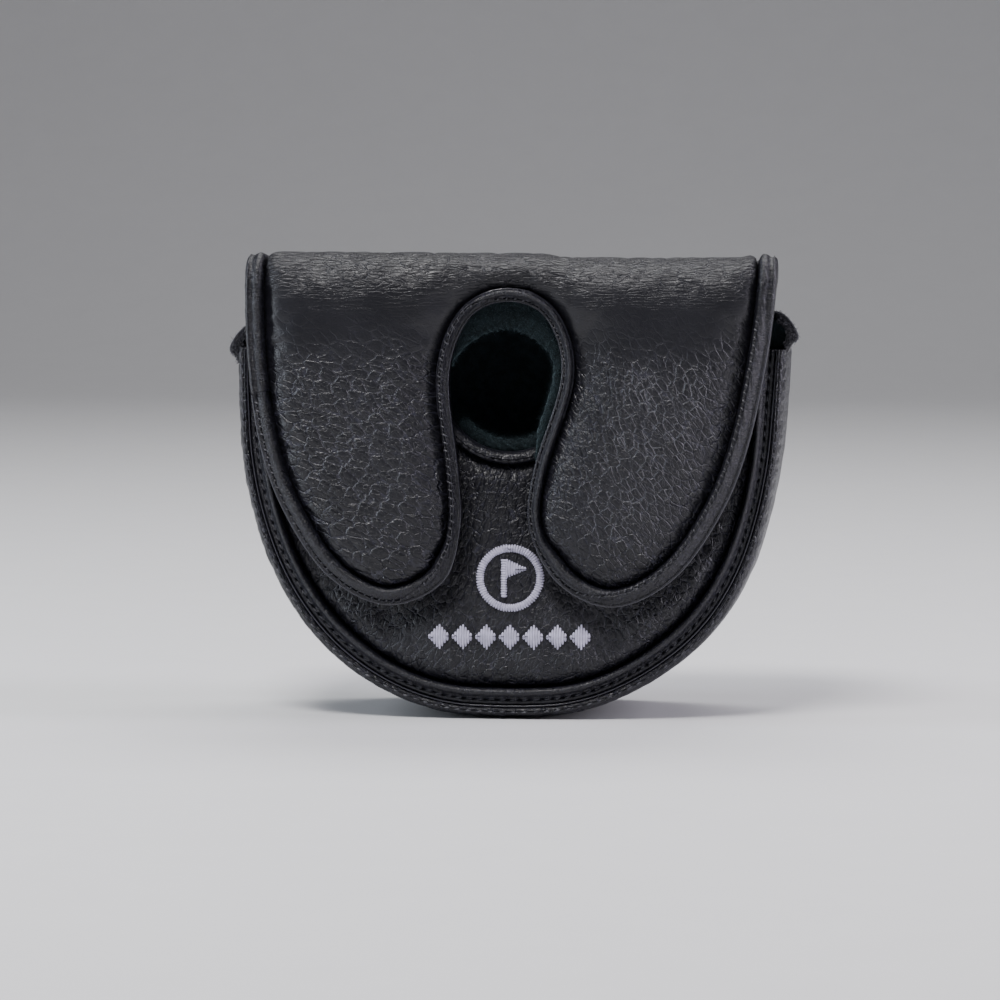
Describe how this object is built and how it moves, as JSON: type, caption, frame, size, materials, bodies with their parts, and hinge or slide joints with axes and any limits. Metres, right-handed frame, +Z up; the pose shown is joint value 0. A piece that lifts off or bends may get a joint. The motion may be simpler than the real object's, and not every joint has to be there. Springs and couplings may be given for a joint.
{
  "type": "putter head cover",
  "caption": "Padded leather cover for a mallet putter head: a D-shaped plush-lined pocket with a magnetic flap that wraps the shaft.",
  "frame": {"origin": "centre of the overall box, at the bottom of the pocket where it stands", "axes": "+X across the cover, +Y from the crown side with the flap's lobes to the back panel, +Z up through the mouth"},
  "size_m": [0.136, 0.0484, 0.109],
  "materials": {
    "leather": "pebbled black leather, satin",
    "border": "smoother black leather, folded and stitched",
    "plush": "deep black plush with a slight teal cast",
    "foam": "charcoal padding",
    "cord": "twisted filler cord",
    "thread": "pale satin embroidery thread",
    "steel": "plain discs"
  },
  "bodies": {
    "pocket": {"back_panel_leather": "leather", "back_panel_foam": "foam", "back_panel_lining": "plush", "back_edge_binding": "border", "front_panel_leather": "leather", "front_panel_foam": "foam", "front_panel_lining": "plush", "front_edge_binding": "border", "mouth_binding": "border", "gusset_leather": "leather", "gusset_foam": "foam", "gusset_lining": "plush", "gusset_end_binding_left": "border", "gusset_end_binding_right": "border", "left_keeper_plate": "steel", "right_keeper_plate": "steel", "emblem_ring": "thread", "emblem_flag": "thread", "diamond_1": "thread", "diamond_2": "thread", "diamond_3": "thread", "diamond_4": "thread", "diamond_5": "thread", "diamond_6": "thread", "diamond_7": "thread"},
    "flap_bridge": {"bridge_leather": "leather", "bridge_foam": "foam", "bridge_lining": "plush", "bridge_binding_left": "border", "bridge_binding_right": "border"},
    "flap_lobes": {"flap_leather": "leather", "flap_lining": "plush", "left_lobe_foam": "foam", "right_lobe_foam": "foam", "left_upper_border": "border", "left_lobe_border": "border", "keyhole_border": "border", "right_lobe_border": "border", "left_border_cord": "cord", "right_border_cord": "cord", "left_magnet": "steel", "right_magnet": "steel"}
  },
  "joints": [
    {"name": "back_hinge", "type": "hinge", "parent": "pocket", "child": "flap_bridge", "pos_m": [0, 0.02415, 0.102], "axis": [-1, 0, 0], "range_deg": [0, 150]},
    {"name": "front_fold", "type": "hinge", "parent": "flap_bridge", "child": "flap_lobes", "pos_m": [0, -0.02415, 0.1043], "axis": [-1, 0, 0], "range_deg": [0, 80], "stiffness_Nm_per_rad": 0.012, "springref_deg": -28.65}
  ]
}
